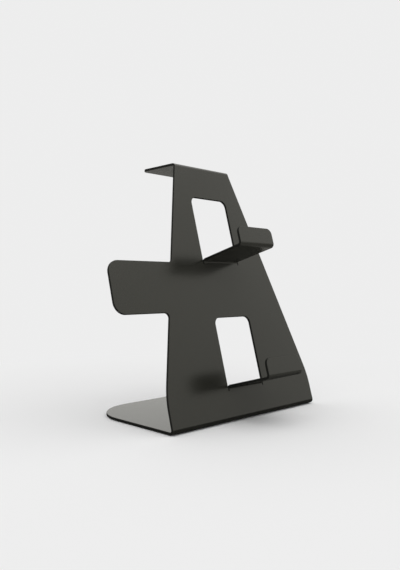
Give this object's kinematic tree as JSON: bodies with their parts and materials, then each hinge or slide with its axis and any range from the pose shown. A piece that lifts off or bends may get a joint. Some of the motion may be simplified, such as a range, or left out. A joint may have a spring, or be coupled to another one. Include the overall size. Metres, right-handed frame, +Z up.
{
  "type": "controller stand",
  "caption": "Desk stand folded from one steel sheet: rounded base, leaning tapered plate, level top rest, side arm and hooked cradles cut from windows.",
  "frame": {"origin": "on the table, under the middle of the base, with the plate's middle line over it", "axes": "+X to the right seen from the front, +Y from the front fold to the back of the base, +Z up"},
  "size_m": [0.2385, 0.1673, 0.2468],
  "materials": {
    "powder_coat": "satin charcoal powder coat with a very fine texture",
    "pad_rubber": "matt black self-adhesive rubber"
  },
  "bodies": {
    "root": {"folded_stand": "powder_coat", "pad_front_left": "pad_rubber", "pad_front_right": "pad_rubber", "pad_rear_left": "pad_rubber", "pad_rear_right": "pad_rubber"}
  },
  "joints": []
}
